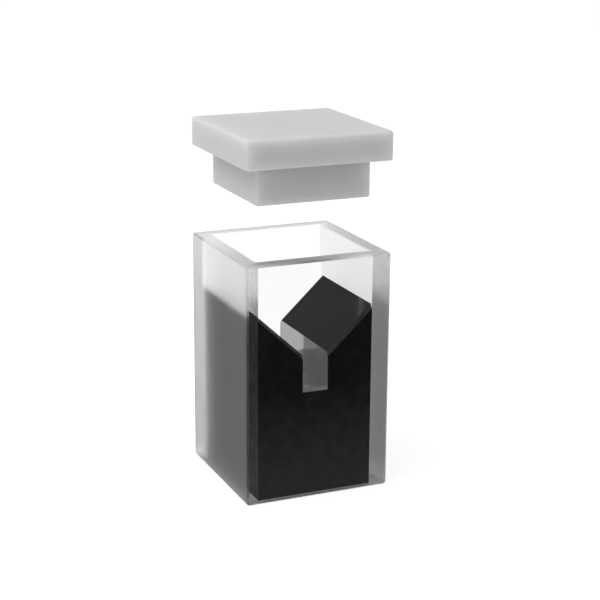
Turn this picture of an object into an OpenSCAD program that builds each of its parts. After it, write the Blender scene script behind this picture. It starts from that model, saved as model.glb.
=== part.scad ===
// Square quartz cuvette with a black funnel insert and a square PTFE stopper.
// Four clear plates are fused into an open-topped box. Two black blocks and a
// black spacer fill its lower part. The blocks' bevelled tops make a funnel
// that leads down into a narrow straight slot, the sample chamber, which runs
// from the front window to the back window. The stopper stands clear above
// the mouth, square to it, ready to be pushed down into it.
// Frame: origin at the centre of the base, +Z up, front window towards -Y.

/* [Cell] */
// Outside width and depth of the square cell
cell_w = 12.5; // [10:0.5:16]
// Height of the cell from base to rim
cell_h = 20; // [16:0.5:45]
// Thickness of the windows and side plates
wall = 1.25; // [0.9:0.05:1.6]
// Depth of the open mouth, from the rim down to the top of the black blocks
mouth_depth = 4.4; // [3.5:0.1:8]
// Width of the chamfer that is ground along every outer edge
edge_chamfer = 0.15; // [0.05:0.05:0.4]

/* [Sample chamber] */
// Width of the slot between the black blocks
slot_w = 2.2; // [1:0.1:4]
// Height of the slot, from its floor to the foot of the funnel
slot_h = 2.9; // [2:0.1:5]
// Slope of the funnel's sides above the horizontal
funnel_angle = 43; // [30:1:52]
// Width of the chamfer where the funnel and the slot's floor meet the windows
insert_chamfer = 0.25; // [0.05:0.05:0.5]

/* [Stopper] */
// Thickness of the square cap
cap_t = 2.4; // [1.5:0.1:4]
// How far the cap's sides stand in (-) or out (+) from the cell's sides
cap_overhang = 0; // [-0.5:0.05:0.5]
// Depth of the plug below the cap
plug_depth = 3.1; // [1.5:0.1:3.4]
// Gap on each side between the plug and the mouth
plug_clearance = 0.1; // [0.03:0.01:0.3]
// Radius of the cap's upper edges
cap_top_r = 0.15; // [0.05:0.05:0.7]
// Radius of the cap's four upright corners
cap_corner_r = 0.15; // [0.05:0.05:1.5]
// Radius of the plug's upright corners and lower edges
plug_r = 0.15; // [0.05:0.05:0.8]
// Height of the lifted plug's lower end above the rim
lift_gap = 4.4; // [1:0.1:20]

/* [Hidden] */
$fn = 48;

half_w = cell_w / 2;
bore_w = cell_w - 2 * wall;
half_bore = bore_w / 2;
half_slot = slot_w / 2;

block_w = half_bore - half_slot;
block_h = cell_h - mouth_depth;
funnel_h = block_w * tan(funnel_angle);
shoulder_h = block_h - funnel_h;
slot_floor_h = shoulder_h - slot_h;

cap_w = cell_w + 2 * cap_overhang;
cap_bottom_r = 0.12;
plug_w = bore_w - 2 * plug_clearance;
plug_z = cell_h + lift_gap;
cap_z = plug_z + plug_depth;

clear_quartz = [0.86, 0.91, 0.94, 0.35];
black_quartz = [0.08, 0.08, 0.09];
white_ptfe = [0.86, 0.86, 0.85];

// Square of side w about the origin, with its corners cut off at 45 degrees.
module chamfered_square(w, c) {
    h = w / 2;
    polygon([[h - c, -h], [h, -h + c], [h, h - c], [h - c, h],
             [-h + c, h], [-h, h - c], [-h, -h + c], [-h + c, -h]]);
}

// Rectangle w wide that stands on the X axis, with all four corners cut off.
module chamfered_panel(w, h, c) {
    polygon([[w / 2 - c, 0], [w / 2, c], [w / 2, h - c], [w / 2 - c, h],
             [-w / 2 + c, h], [-w / 2, h - c], [-w / 2, c], [-w / 2 + c, 0]]);
}

// Square of side w about the origin, with rounded corners.
module rounded_square(w, r) {
    square([w - 2 * r, w], center = true);
    square([w, w - 2 * r], center = true);
    for (x = [-1, 1], y = [-1, 1])
        translate([x * (w / 2 - r), y * (w / 2 - r)]) circle(r);
}

// Rectangle w wide that stands on the X axis, with one radius at its two
// upper corners and another at its two lower ones.
module rounded_panel(w, h, r_top, r_bottom) {
    translate([-w / 2, r_bottom]) square([w, h - r_top - r_bottom]);
    translate([-w / 2 + r_top, r_bottom]) square([w - 2 * r_top, h - r_bottom]);
    translate([-w / 2 + r_bottom, 0]) square([w - 2 * r_bottom, h - r_top]);
    for (x = [-1, 1]) {
        translate([x * (w / 2 - r_top), h - r_top]) circle(r_top);
        translate([x * (w / 2 - r_bottom), r_bottom]) circle(r_bottom);
    }
}

// Extrudes an upright profile along Y and along X, both about the origin,
// and keeps what the two have in common.
module square_from_profile(length) {
    intersection() {
        rotate([90, 0, 0]) linear_extrude(length, center = true) children();
        rotate([90, 0, 90]) linear_extrude(length, center = true) children();
    }
}

// Outer form of the fused cell: a square block with every edge chamfered.
module cell_envelope() {
    intersection() {
        linear_extrude(cell_h) chamfered_square(cell_w, edge_chamfer);
        square_from_profile(2 * cell_w)
            chamfered_panel(cell_w, cell_h, edge_chamfer);
    }
}

// Polished window over the whole width of the cell; side is -1 for the front
// and 1 for the back.
module window(side) {
    color(clear_quartz)
        intersection() {
            cell_envelope();
            translate([-half_w, side * (half_w - wall / 2) - wall / 2, 0])
                cube([cell_w, wall, cell_h]);
        }
}

// Plate between the two windows; side is -1 for the left and 1 for the right.
module side_plate(side) {
    color(clear_quartz)
        intersection() {
            cell_envelope();
            translate([side * (half_w - wall / 2) - wall / 2, -half_bore, 0])
                cube([wall, bore_w, cell_h]);
        }
}

// Bar of a given length along X, as wide as the bore. It hangs down h from
// its flat top, which is chamfered along the two edges that face the windows.
module chamfered_bar(length, h) {
    c = insert_chamfer;
    rotate([90, 0, 90])
        linear_extrude(length, center = true)
            polygon([[-half_bore, -h], [half_bore, -h], [half_bore, -c],
                     [half_bore - c, 0], [-half_bore + c, 0],
                     [-half_bore, -c]]);
}

// Black block against one side plate. Its inner face is one side of the slot
// and the bevel above it is one side of the funnel.
module funnel_block(side) {
    color(black_quartz)
        intersection() {
            rotate([90, 0, 0])
                linear_extrude(bore_w, center = true)
                    polygon([[side * half_bore, 0], [side * half_slot, 0],
                             [side * half_slot, shoulder_h],
                             [side * half_bore, block_h]]);
            translate([side * half_slot, 0, shoulder_h])
                rotate([0, -side * funnel_angle, 0])
                    chamfered_bar(4 * cell_h, 2 * cell_h);
        }
}

// Black spacer that sets the width of the slot and carries its floor.
module slot_spacer() {
    color(black_quartz)
        translate([0, 0, slot_floor_h]) chamfered_bar(slot_w, slot_floor_h);
}

// Square cap with its edges just rounded.
module cap() {
    intersection() {
        linear_extrude(cap_t) rounded_square(cap_w, cap_corner_r);
        square_from_profile(2 * cap_w)
            rounded_panel(cap_w, cap_t, cap_top_r, cap_bottom_r);
    }
}

// Square plug that enters the mouth, from its lower end up into the cap.
module plug() {
    height = plug_depth + cap_t / 2;
    intersection() {
        linear_extrude(height) rounded_square(plug_w, plug_r);
        square_from_profile(2 * plug_w)
            rounded_panel(plug_w, height, plug_r / 2, plug_r);
    }
}

// Stopper cut from one piece of PTFE, shown lifted off the cell.
module stopper() {
    color(white_ptfe) {
        translate([0, 0, cap_z]) cap();
        translate([0, 0, plug_z]) plug();
    }
}

window(-1);  // front_window
window(1);  // back_window
side_plate(-1);  // left_side_plate
side_plate(1);  // right_side_plate
funnel_block(-1);  // left_funnel_block
funnel_block(1);  // right_funnel_block
slot_spacer();
stopper();
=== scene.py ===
"""Looks of a square quartz cuvette: a fused clear cell, the black funnel insert
inside it and a loose PTFE stopper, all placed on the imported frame."""
import math

import bmesh
import bpy
from mathutils import Matrix, Vector


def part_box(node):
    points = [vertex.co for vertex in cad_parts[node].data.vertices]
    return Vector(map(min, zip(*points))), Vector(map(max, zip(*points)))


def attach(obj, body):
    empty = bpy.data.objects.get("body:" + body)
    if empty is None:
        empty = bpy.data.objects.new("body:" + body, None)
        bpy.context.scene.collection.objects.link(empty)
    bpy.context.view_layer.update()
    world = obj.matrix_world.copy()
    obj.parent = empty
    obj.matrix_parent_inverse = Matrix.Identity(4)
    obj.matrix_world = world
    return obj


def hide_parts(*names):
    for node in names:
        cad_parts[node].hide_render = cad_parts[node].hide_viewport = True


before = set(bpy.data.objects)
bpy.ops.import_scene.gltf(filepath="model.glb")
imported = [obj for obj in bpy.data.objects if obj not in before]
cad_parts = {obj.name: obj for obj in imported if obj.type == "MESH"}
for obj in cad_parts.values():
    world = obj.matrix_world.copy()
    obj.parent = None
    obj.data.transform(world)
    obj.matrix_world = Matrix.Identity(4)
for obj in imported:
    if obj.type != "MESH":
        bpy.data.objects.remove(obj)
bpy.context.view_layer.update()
MM = 0.001
scene = bpy.context.scene
scene.view_settings.view_transform = "Standard"
# Light passes many faces of the glass before it gets out.
LIGHT_BOUNCES = 32
scene.cycles.max_bounces = LIGHT_BOUNCES
scene.cycles.transmission_bounces = LIGHT_BOUNCES
scene.cycles.glossy_bounces = LIGHT_BOUNCES

# ---------------------------------------------------------------- camera
CAMERA_PLACE = Vector((-48.866, -114.424, 50.886)) * MM
TURN, TILT, ROLL = (math.radians(a) for a in (23.538, 16.067, 0.401))
SENSOR_MM, LENS_MM = 36, 93.29
forward = Vector((math.sin(TURN) * math.cos(TILT), math.cos(TURN) * math.cos(TILT), -math.sin(TILT)))
level = Vector((math.cos(TURN), -math.sin(TURN), 0))
upright = level.cross(forward)
right = level * math.cos(ROLL) + upright * math.sin(ROLL)
up = upright * math.cos(ROLL) - level * math.sin(ROLL)
facing = Matrix((right, up, -forward)).transposed().to_4x4()
camera = bpy.data.objects.new("camera", bpy.data.cameras.new("camera"))
camera.data.sensor_width = SENSOR_MM
camera.data.lens = LENS_MM
camera.data.clip_start, camera.data.clip_end = 1 * MM, 20
camera.matrix_world = Matrix.Translation(CAMERA_PLACE) @ facing
scene.collection.objects.link(camera)
scene.camera = camera


# ---------------------------------------------------------------- helpers
def paint(code):
    """A colour written as sRGB hex, turned to linear."""
    parts = [int(code[i:i + 2], 16) / 255 for i in (1, 3, 5)]
    return [p / 12.92 if p <= 0.04045 else ((p + 0.055) / 1.055) ** 2.4 for p in parts] + [1]


WHITE = paint("#FFFFFF")


def add(tree, kind, settings=None, **sockets):
    """Adds a node, sets its settings, and fills each socket with a value or links it.
    A socket is named as in the editor with _ for a space, or by its number as in at_1."""
    node = tree.nodes.new(kind)
    for name, value in (settings or {}).items():
        setattr(node, name, value)
    for name, value in sockets.items():
        socket = node.inputs[int(name[3:]) if name.startswith("at_") else name.replace("_", " ")]
        if isinstance(value, bpy.types.NodeSocket):
            tree.links.new(value, socket)
        else:
            socket.default_value = value
    return node


def new_material(name):
    """A material and its node tree, which starts empty."""
    material = bpy.data.materials.new(name)
    material.use_nodes = True
    material.node_tree.nodes.clear()
    return material, material.node_tree


def to_object(name, bm, materials):
    """Makes the finished mesh an object at the origin."""
    mesh = bpy.data.meshes.new(name)
    bm.to_mesh(mesh)
    bm.free()
    for material in materials:
        mesh.materials.append(material)
    piece = bpy.data.objects.new(name, mesh)
    scene.collection.objects.link(piece)
    return piece


def place(name, bm, materials, body, slot, *nodes):
    """Hands a piece to the frame: the body it rides on and the nodes it stands for."""
    piece = to_object(name, bm, materials)
    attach(piece, body)
    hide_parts(*nodes)


SAME = 0.001 * MM


def same(a, b):
    """True for two places so near that they count as one."""
    return abs(a - b) < SAME


def reach(place):
    """How far a place is from the upright axis, along X or Y."""
    return max(abs(place.x), abs(place.y))


def square_on(face):
    """True for a face square to the axes, false for a chamfer or a rounding."""
    return max(abs(c) for c in face.normal) > 0.9999


def whole(bm):
    """The whole mesh, as an operator takes it."""
    return bm.verts[:] + bm.edges[:] + bm.faces[:]


def corners(result):
    """The corners among what an operator returns."""
    return [v for v in result["geom"] if isinstance(v, bmesh.types.BMVert)]


# ---------------------------------------------------------------- materials
QUARTZ_IOR = 1.458
MATT = 0.6
GLOSSY = 0.08


def polished_quartz():
    """Fused quartz, optically polished: clear and colourless, with a hard clean
    reflection and only a breath of polishing haze."""
    material, tree = new_material("fused_quartz_polished")
    where = add(tree, "ShaderNodeTexCoord").outputs["Object"]
    # Haze in soft patches about 3 mm across.
    haze = add(tree, "ShaderNodeTexNoise", Vector=where, Scale=1 / (3 * MM), Detail=2.0)
    rough = add(tree, "ShaderNodeMapRange", Value=haze.outputs["Fac"], From_Min=0.45, From_Max=0.8,
                To_Min=0.0, To_Max=0.025)
    glass = add(tree, "ShaderNodeBsdfPrincipled", Base_Color=WHITE, IOR=QUARTZ_IOR,
                Transmission_Weight=1.0, Roughness=rough.outputs["Result"])
    add(tree, "ShaderNodeOutputMaterial", Surface=glass.outputs[0])
    return material


def ground_quartz(name, grain_mm, roughness, milky, dent_mm):
    """Fused quartz, ground with loose grit and no polish: a frost that spreads light
    and blurs what lies behind it. milky is the share of light that it scatters back."""
    material, tree = new_material(name)
    where = add(tree, "ShaderNodeTexCoord").outputs["Object"]
    # Grit marks are about 0.02 mm; drawn coarser so that they show.
    grit = add(tree, "ShaderNodeTexNoise", Vector=where, Scale=1 / (grain_mm * MM), Detail=3.0)
    dents = add(tree, "ShaderNodeBump", Height=grit.outputs["Fac"], Strength=1.0, Distance=dent_mm * MM)
    # The grit bites a little deeper in places about 1.5 mm across.
    bite = add(tree, "ShaderNodeTexNoise", Vector=where, Scale=1 / (1.5 * MM), Detail=2.0)
    uneven = 0.03
    rough = add(tree, "ShaderNodeMapRange", Value=bite.outputs["Fac"], From_Min=0.3, From_Max=0.7,
                To_Min=roughness - uneven, To_Max=roughness + uneven)
    glass = add(tree, "ShaderNodeBsdfPrincipled", Base_Color=WHITE, IOR=QUARTZ_IOR,
                Transmission_Weight=1 - milky, Roughness=rough.outputs["Result"],
                Normal=dents.outputs["Normal"])
    add(tree, "ShaderNodeOutputMaterial", Surface=glass.outputs[0])
    return material


def black_quartz(name, dark, light, roughness, specular, polish, ior=QUARTZ_IOR):
    """Black quartz, an opaque fused glass. Ground and fused it is a flat deep black,
    faintly clouded; polished, where it meets air, it mirrors like a black pane."""
    material, tree = new_material(name)
    where = add(tree, "ShaderNodeTexCoord").outputs["Object"]
    # Clouds in the melt, about 1 mm across.
    cloud = add(tree, "ShaderNodeTexNoise", Vector=where, Scale=1 / (1.0 * MM), Detail=4.0)
    share = add(tree, "ShaderNodeMapRange", Value=cloud.outputs["Fac"], From_Min=0.35, From_Max=0.65,
                To_Min=0.0, To_Max=1.0)
    tone = add(tree, "ShaderNodeMix", {"data_type": "RGBA"}, Factor=share.outputs["Result"],
               at_6=paint(dark), at_7=paint(light))
    # The gloss is uneven in marks of 0.4 mm.
    wear = add(tree, "ShaderNodeTexNoise", Vector=where, Scale=1 / (0.4 * MM), Detail=2.0)
    rough = add(tree, "ShaderNodeMapRange", Value=wear.outputs["Fac"], From_Min=0.3, From_Max=0.7,
                To_Min=roughness * 0.8, To_Max=roughness * 1.2)
    glass = add(tree, "ShaderNodeBsdfPrincipled", Base_Color=tone.outputs[2], IOR=ior,
                Roughness=rough.outputs["Result"], Specular_IOR_Level=specular, Coat_Weight=polish,
                Coat_Roughness=0.04, Coat_IOR=1.6)
    add(tree, "ShaderNodeOutputMaterial", Surface=glass.outputs[0])
    return material


def pressed_ptfe():
    """PTFE, pressed and sintered as a block and then cut to shape: waxy, matt and a
    little translucent."""
    material, tree = new_material("ptfe_pressed")
    where = add(tree, "ShaderNodeTexCoord").outputs["Object"]
    # Faint clouds of 2.5 mm from the pressed powder, and a skin grain of 0.15 mm.
    cloud = add(tree, "ShaderNodeTexNoise", Vector=where, Scale=1 / (2.5 * MM), Detail=3.0)
    tone = add(tree, "ShaderNodeMix", {"data_type": "RGBA"}, Factor=cloud.outputs["Fac"],
               at_6=paint("#CACACA"), at_7=paint("#D2D2D2"))
    grain = add(tree, "ShaderNodeTexNoise", Vector=where, Scale=1 / (0.15 * MM), Detail=2.0)
    skin = add(tree, "ShaderNodeBump", Height=grain.outputs["Fac"], Strength=1.0, Distance=0.006 * MM)
    plastic = add(tree, "ShaderNodeBsdfPrincipled", Base_Color=tone.outputs[2], Roughness=MATT,
                  Specular_IOR_Level=0.3, IOR=1.38, Subsurface_Weight=1.0,
                  Subsurface_Radius=(1.0, 1.0, 1.0), Subsurface_Scale=3.0 * MM,
                  Normal=skin.outputs["Normal"])
    add(tree, "ShaderNodeOutputMaterial", Surface=plastic.outputs[0])
    return material


# ---------------------------------------------------------------- sizes
# From the frame.
window_low, window_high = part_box("front_window")
block_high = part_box("left_funnel_block")[1]
spacer_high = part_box("slot_spacer")[1]
stopper_low, stopper_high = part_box("stopper")
WIDTH = window_high.x - window_low.x
HEIGHT = window_high.z
WALL = window_high.y - window_low.y
BORE = WIDTH - 2 * WALL
# As in the source.
CELL_CHAMFER = 0.15 * MM
FUNNEL_ANGLE = math.radians(43)
FUNNEL_CHAMFER = 0.25 * MM
PLUG_DEPTH = 3.1 * MM
PLUG_CLEARANCE = 0.1 * MM
PLUG_ROUNDING = 0.15 * MM
UNDERSIDE_ROUNDING = 0.12 * MM
# A little softer than in the source.
CAP_ROUNDING = 0.22 * MM
# Not in the source: the mouth's broken edge, and how far the insert is fused in.
MOUTH_BREAK = 0.08 * MM
FUSED_IN = 0.01 * MM


# ---------------------------------------------------------------- clear cell
POLISHED, SATIN, GROUND, LAPPED = range(4)


def clear_cell():
    """One fused block with the bore right through it, ground along its outer edges."""
    bm = bmesh.new()
    bmesh.ops.create_cube(bm, size=1)
    bmesh.ops.scale(bm, vec=(WIDTH, WIDTH, HEIGHT), verts=bm.verts)
    bmesh.ops.translate(bm, vec=(0, 0, HEIGHT / 2), verts=bm.verts)
    outer = bm.edges[:]
    ends = [f for f in bm.faces if abs(f.normal.z) > 0.5]
    bmesh.ops.inset_individual(bm, faces=ends, thickness=WALL + FUSED_IN, use_even_offset=True)
    rims = [e for f in ends for e in f.edges]
    bmesh.ops.delete(bm, geom=ends, context="FACES_ONLY")
    bmesh.ops.bridge_loops(bm, edges=rims)
    bmesh.ops.bevel(bm, geom=outer, offset=CELL_CHAMFER, affect="EDGES", segments=1, profile=0.5,
                    material=-1)
    mouth = [e for e in bm.edges
             if all(same(v.co.z, HEIGHT) and reach(v.co) < BORE / 2 for v in e.verts)]
    bmesh.ops.bevel(bm, geom=mouth, offset=MOUTH_BREAK, affect="EDGES", segments=1, profile=0.5,
                    material=-1)
    bmesh.ops.recalc_face_normals(bm, faces=bm.faces)
    for f in bm.faces:
        out = f.normal
        outside = abs(f.calc_center_median().x) > BORE / 2 + WALL / 2
        if not square_on(f):
            f.material_index = GROUND
        elif out.z > 0.5:
            f.material_index = LAPPED
        elif out.z < -0.5 or (abs(out.x) > 0.5 and outside):
            f.material_index = SATIN
        else:
            f.material_index = POLISHED
    return bm


# ---------------------------------------------------------------- black insert
FUSED_BLACK, SIDE_BLACK_PAINTED_LIGHT, SLOPE_BLACK, SLOT_BLACK_PAINTED_LIGHT, EDGE_BLACK_PAINTED_HIGHLIGHT = range(5)


def funnel_insert():
    """The front face is cut out of a sheet along the funnel's and slot's lines, then
    drawn back through the cell."""
    top, floor, slot = block_high.z, spacer_high.z, -block_high.x
    half = BORE / 2
    gradient = math.tan(FUNNEL_ANGLE)
    shoulder = top - (half - slot) * gradient
    bm = bmesh.new()
    bmesh.ops.create_grid(bm, x_segments=1, y_segments=1, size=0.5)
    bmesh.ops.scale(bm, vec=(BORE, top, 1), verts=bm.verts)
    bmesh.ops.rotate(bm, cent=(0, 0, 0), matrix=Matrix.Rotation(math.pi / 2, 3, "X"), verts=bm.verts)
    bmesh.ops.translate(bm, vec=(0, -half, top / 2), verts=bm.verts)
    lean, rise = math.sin(FUNNEL_ANGLE), math.cos(FUNNEL_ANGLE)
    # For each cut, a point on it and the direction across it.
    cuts = (((-slot, 0, 0), (1, 0, 0)),
            ((slot, 0, 0), (1, 0, 0)),
            ((0, 0, floor), (0, 0, 1)),
            ((-slot, 0, shoulder), (lean, 0, rise)),
            ((slot, 0, shoulder), (-lean, 0, rise)))
    for point, across in cuts:
        bmesh.ops.bisect_plane(bm, geom=whole(bm), dist=SAME, plane_co=point, plane_no=across)
    empty = []
    for f in bm.faces:
        c = f.calc_center_median()
        if c.z > floor and (abs(c.x) < slot or c.z - shoulder > (abs(c.x) - slot) * gradient):
            empty.append(f)
    bmesh.ops.delete(bm, geom=empty, context="FACES")
    bmesh.ops.dissolve_limit(bm, angle_limit=0.01, verts=bm.verts, edges=bm.edges)
    drawn = bmesh.ops.extrude_face_region(bm, geom=bm.faces[:])
    bmesh.ops.translate(bm, vec=(0, BORE, 0), verts=corners(drawn))
    # The upward faces are chamfered where they meet the windows.
    for side in (-1, 1):
        bmesh.ops.bisect_plane(bm, geom=whole(bm), dist=SAME,
                               plane_co=(0, side * (half - FUNNEL_CHAMFER), 0), plane_no=(0, 1, 0))
    for v in bm.verts:
        if same(abs(v.co.y), half) and v.co.z > floor - SAME:
            v.co.z -= FUNNEL_CHAMFER / (rise if v.co.z > shoulder - SAME else 1)
    bmesh.ops.recalc_face_normals(bm, faces=bm.faces)
    # The side faces take a black with painted light, the slot faces a grey of painted light, and the
    # chamfers a painted highlight.
    for f in bm.faces:
        c = f.calc_center_median()
        chamfered = abs(c.y) > half - FUNNEL_CHAMFER and f.normal.z > 0.3
        if same(abs(c.y), half) or same(c.z, 0):
            f.material_index = FUSED_BLACK
        elif same(abs(c.x), half):
            f.material_index = SIDE_BLACK_PAINTED_LIGHT
        elif chamfered and c.z > shoulder:
            f.material_index = EDGE_BLACK_PAINTED_HIGHLIGHT
        else:
            f.material_index = SLOPE_BLACK if c.z > shoulder else SLOT_BLACK_PAINTED_LIGHT
    return bm


# ---------------------------------------------------------------- stopper
SHARP_ANGLE = math.radians(20)


def round_edges(bm, radius, chosen):
    """Rounds the sharp edges that pass the test, which is told where the middle of an
    edge is and whether it stands upright."""
    edges = []
    for e in bm.edges:
        start, end = (v.co for v in e.verts)
        upright = abs(end.z - start.z) > 0.9 * e.calc_length()
        if e.calc_face_angle(0) > SHARP_ANGLE and chosen((start + end) / 2, upright):
            edges.append(e)
    bmesh.ops.bevel(bm, geom=edges, offset=radius, affect="EDGES", segments=3, profile=0.5, material=-1)


def ptfe_stopper():
    """A square cap with a square plug drawn out of its underside."""
    low, high = stopper_low.z, stopper_high.z
    seat = low + PLUG_DEPTH
    plug = BORE / 2 - PLUG_CLEARANCE
    bm = bmesh.new()
    bmesh.ops.create_cube(bm, size=1)
    bmesh.ops.scale(bm, vec=(WIDTH, WIDTH, high - seat), verts=bm.verts)
    bmesh.ops.translate(bm, vec=(0, 0, (high + seat) / 2), verts=bm.verts)
    under = [f for f in bm.faces if f.normal.z < -0.5]
    bmesh.ops.inset_individual(bm, faces=under, thickness=WIDTH / 2 - plug, use_even_offset=True)
    drawn = bmesh.ops.extrude_face_region(bm, geom=under)
    bmesh.ops.delete(bm, geom=under, context="FACES")
    bmesh.ops.translate(bm, vec=(0, 0, low - seat), verts=corners(drawn))
    round_edges(bm, CAP_ROUNDING, lambda middle, upright: upright and middle.z > seat)
    round_edges(bm, PLUG_ROUNDING, lambda middle, upright: upright and middle.z < seat)
    round_edges(bm, CAP_ROUNDING, lambda middle, upright: same(middle.z, high))
    round_edges(bm, PLUG_ROUNDING, lambda middle, upright: same(middle.z, low))
    # The cap's lower edge, but not the corner where the plug meets the cap.
    round_edges(bm, UNDERSIDE_ROUNDING,
                lambda middle, upright: same(middle.z, seat) and reach(middle) > BORE / 2)
    bmesh.ops.recalc_face_normals(bm, faces=bm.faces)
    # Only the roundings are shaded smooth. Smooth flats show a line corner to corner.
    for f in bm.faces:
        f.smooth = not square_on(f)
    return bm


polished = polished_quartz()
satin = ground_quartz("fused_quartz_satin", grain_mm=0.1, roughness=0.6, milky=0.045, dent_mm=0.001)
lapped = ground_quartz("fused_quartz_lapped", grain_mm=0.08, roughness=0.7, milky=0.14, dent_mm=0.003)
ground = ground_quartz("fused_quartz_ground", grain_mm=0.08, roughness=0.6, milky=0.0, dent_mm=0.003)
# Fused to the clear windows, the black is deepest. Behind the satin sides it is painted greyer: painted
# light for what the frosted sides let in.
fused_black = black_quartz("black_quartz_fused", "#171717", "#1F1F1F", MATT, specular=0.0, polish=0.0)
side_black_painted_light = black_quartz("black_quartz_side_painted_light", "#333333", "#3D3D3D", MATT, specular=0.0, polish=0.0)
# The slopes are polished. So is the slot, which catches the light: its mid grey is painted light on black
# quartz.
slope_black = black_quartz("black_quartz_polished", "#141414", "#1A1A1A", GLOSSY, specular=0.5, polish=0.2)
slot_black_painted_light = black_quartz("black_quartz_slot_painted_light", "#8F8F8F", "#959595", GLOSSY, specular=1.0, polish=1.0,
                          ior=1.65)
# The chamfers are only ground fine; their grey is a painted highlight, and shows as a thin grey line.
edge_black_painted_highlight = black_quartz("black_quartz_edge_painted_highlight", "#333333", "#3D3D3D", 0.4, specular=0.5, polish=0.0)
ptfe = pressed_ptfe()

place("quartz_cell", clear_cell(), [polished, satin, ground, lapped], "cell", "clear_quartz",
      "front_window", "back_window", "left_side_plate", "right_side_plate")
place("funnel_insert", funnel_insert(), [fused_black, side_black_painted_light, slope_black, slot_black_painted_light, edge_black_painted_highlight],
      "cell", "black_quartz", "left_funnel_block", "right_funnel_block", "slot_spacer")
place("ptfe_stopper", ptfe_stopper(), [ptfe], "lid", "white_ptfe", "stopper")


# ---------------------------------------------------------------- studio
FLOOR_RADIUS = 4
# The floor lies this far below the cell's base, and the card as far above it.
HAIR = 0.02 * MM
CARD_WIDTH, CARD_DEPTH = 1.2, 0.8
CARD_EDGE = -WIDTH / 2 - 0.05 * MM
# Going away from the cell, the card is thin, full, starts to fade, and is gone.
CARD_THIN, CARD_FULL, CARD_FADES, CARD_GONE = -6 * MM, -32 * MM, -150 * MM, -800 * MM
SOFTBOX_PLACE = Vector((-170, 0, 330)) * MM
SOFTBOX_AIM = Vector((0, 0, HEIGHT))
SOFTBOX_SIZE = 260 * MM
SOFTBOX_WATTS = 0.65


def paths(tree, *kinds):
    """1 for rays of any of these kinds, and 0 for the others."""
    ray = add(tree, "ShaderNodeLightPath").outputs
    total = ray[kinds[0]]
    for kind in kinds[1:]:
        total = add(tree, "ShaderNodeMath", {"operation": "MAXIMUM"}, at_0=total, at_1=ray[kind]).outputs[0]
    return total


def white_room():
    """White all round where it is looked at. What glass mirrors or bends is a white
    sweep that ends in a darker room overhead."""
    world = bpy.data.worlds.new("studio")
    scene.world = world
    world.use_nodes = True
    tree = world.node_tree
    tree.nodes.clear()
    way = add(tree, "ShaderNodeTexCoord").outputs["Generated"]
    height = add(tree, "ShaderNodeSeparateXYZ", Vector=way).outputs["Z"]
    # The sweep ends 18 to 21 degrees up.
    overhead = add(tree, "ShaderNodeMapRange", Value=height, From_Min=0.31, From_Max=0.36,
                   To_Min=0.0, To_Max=1.0)
    room = add(tree, "ShaderNodeMix", {"data_type": "RGBA"}, Factor=overhead.outputs["Result"],
               at_6=WHITE, at_7=paint("#868686"))
    around = add(tree, "ShaderNodeMix", {"data_type": "RGBA"},
                 Factor=paths(tree, "Is Glossy Ray", "Is Transmission Ray"),
                 at_6=paint("#BEBEBE"), at_7=room.outputs[2])
    backdrop = add(tree, "ShaderNodeMix", {"data_type": "RGBA"}, Factor=paths(tree, "Is Camera Ray"),
                   at_6=around.outputs[2], at_7=WHITE)
    sky = add(tree, "ShaderNodeBackground", Color=backdrop.outputs[2], Strength=1.0)
    add(tree, "ShaderNodeOutputWorld", Surface=sky.outputs[0])


def white_paper():
    """White paper: it looks white, with the shadow of what stands on it, and gives off
    no more light than plain paper."""
    material, tree = new_material("paper_floor")
    lighting = add(tree, "ShaderNodeBsdfDiffuse", Color=paint("#E8E8E8"))
    shaded = add(tree, "ShaderNodeBsdfDiffuse", Color=paint("#989898"))
    glow = add(tree, "ShaderNodeEmission", Color=WHITE, Strength=0.84)
    shown = add(tree, "ShaderNodeAddShader", at_0=shaded.outputs[0], at_1=glow.outputs[0])
    both = add(tree, "ShaderNodeMixShader",
               Fac=paths(tree, "Is Camera Ray", "Is Glossy Ray", "Is Transmission Ray"),
               at_1=lighting.outputs[0], at_2=shown.outputs[0])
    add(tree, "ShaderNodeOutputMaterial", Surface=both.outputs[0])
    return material


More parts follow.
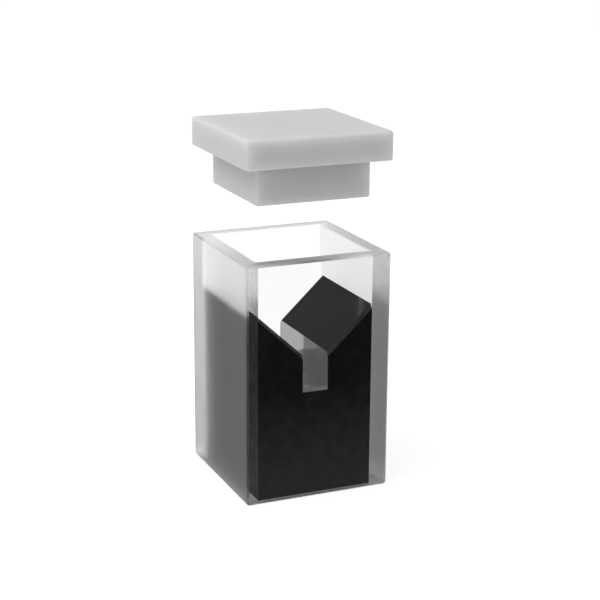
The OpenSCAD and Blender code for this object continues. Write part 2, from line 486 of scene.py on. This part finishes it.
def black_card():
    """Black card that shows only in mirror reflections, where it keeps the front of the
    glass dark. It thins out towards the cell and again far from it."""
    material, tree = new_material("black_card")
    where = add(tree, "ShaderNodeTexCoord").outputs["Object"]
    depth = add(tree, "ShaderNodeSeparateXYZ", Vector=where).outputs["Y"]
    near = add(tree, "ShaderNodeMapRange", Value=depth, From_Min=CARD_THIN, From_Max=CARD_FULL,
               To_Min=0.6, To_Max=1.0)
    far = add(tree, "ShaderNodeMapRange", Value=depth, From_Min=CARD_FADES, From_Max=CARD_GONE,
              To_Min=1.0, To_Max=0.0)
    cover = add(tree, "ShaderNodeMath", {"operation": "MULTIPLY"}, at_0=near.outputs["Result"],
                at_1=far.outputs["Result"])
    mirrored = add(tree, "ShaderNodeMath", {"operation": "MINIMUM"}, at_1=1.0,
                   at_0=add(tree, "ShaderNodeLightPath").outputs["Glossy Depth"])
    opacity = add(tree, "ShaderNodeMath", {"operation": "MULTIPLY"}, at_0=cover.outputs[0],
                  at_1=mirrored.outputs[0])
    clear = add(tree, "ShaderNodeBsdfTransparent")
    black = add(tree, "ShaderNodeBsdfDiffuse", Color=paint("#1C1C1C"))
    thin = add(tree, "ShaderNodeMixShader", Fac=opacity.outputs[0], at_1=clear.outputs[0],
               at_2=black.outputs[0])
    add(tree, "ShaderNodeOutputMaterial", Surface=thin.outputs[0])
    return material


def floor_sheet():
    """A wide round sheet."""
    bm = bmesh.new()
    bmesh.ops.create_circle(bm, cap_ends=True, segments=96, radius=FLOOR_RADIUS)
    bmesh.ops.translate(bm, vec=(0, 0, -HAIR), verts=bm.verts)
    return bm


def card_sheet():
    """A wide sheet in front of the cell, from just clear of its front window."""
    bm = bmesh.new()
    bmesh.ops.create_grid(bm, x_segments=1, y_segments=1, size=0.5)
    bmesh.ops.scale(bm, vec=(CARD_WIDTH, CARD_DEPTH, 1), verts=bm.verts)
    bmesh.ops.translate(bm, vec=(0, CARD_EDGE - CARD_DEPTH / 2, HAIR), verts=bm.verts)
    return bm


def left_softbox():
    """The one lamp, a square softbox high on the left, turned to the rim of the cell."""
    lamp = bpy.data.lights.new("left_softbox", "AREA")
    lamp.shape, lamp.size, lamp.energy = "SQUARE", SOFTBOX_SIZE, SOFTBOX_WATTS
    softbox = bpy.data.objects.new("left_softbox", lamp)
    softbox.location = SOFTBOX_PLACE
    softbox.rotation_mode = "QUATERNION"
    softbox.rotation_quaternion = (SOFTBOX_AIM - SOFTBOX_PLACE).to_track_quat("-Z", "Y")
    scene.collection.objects.link(softbox)


white_room()
to_object("floor", floor_sheet(), [white_paper()])
card = to_object("black_card", card_sheet(), [black_card()])
card.visible_camera = card.visible_diffuse = card.visible_shadow = False
left_softbox()
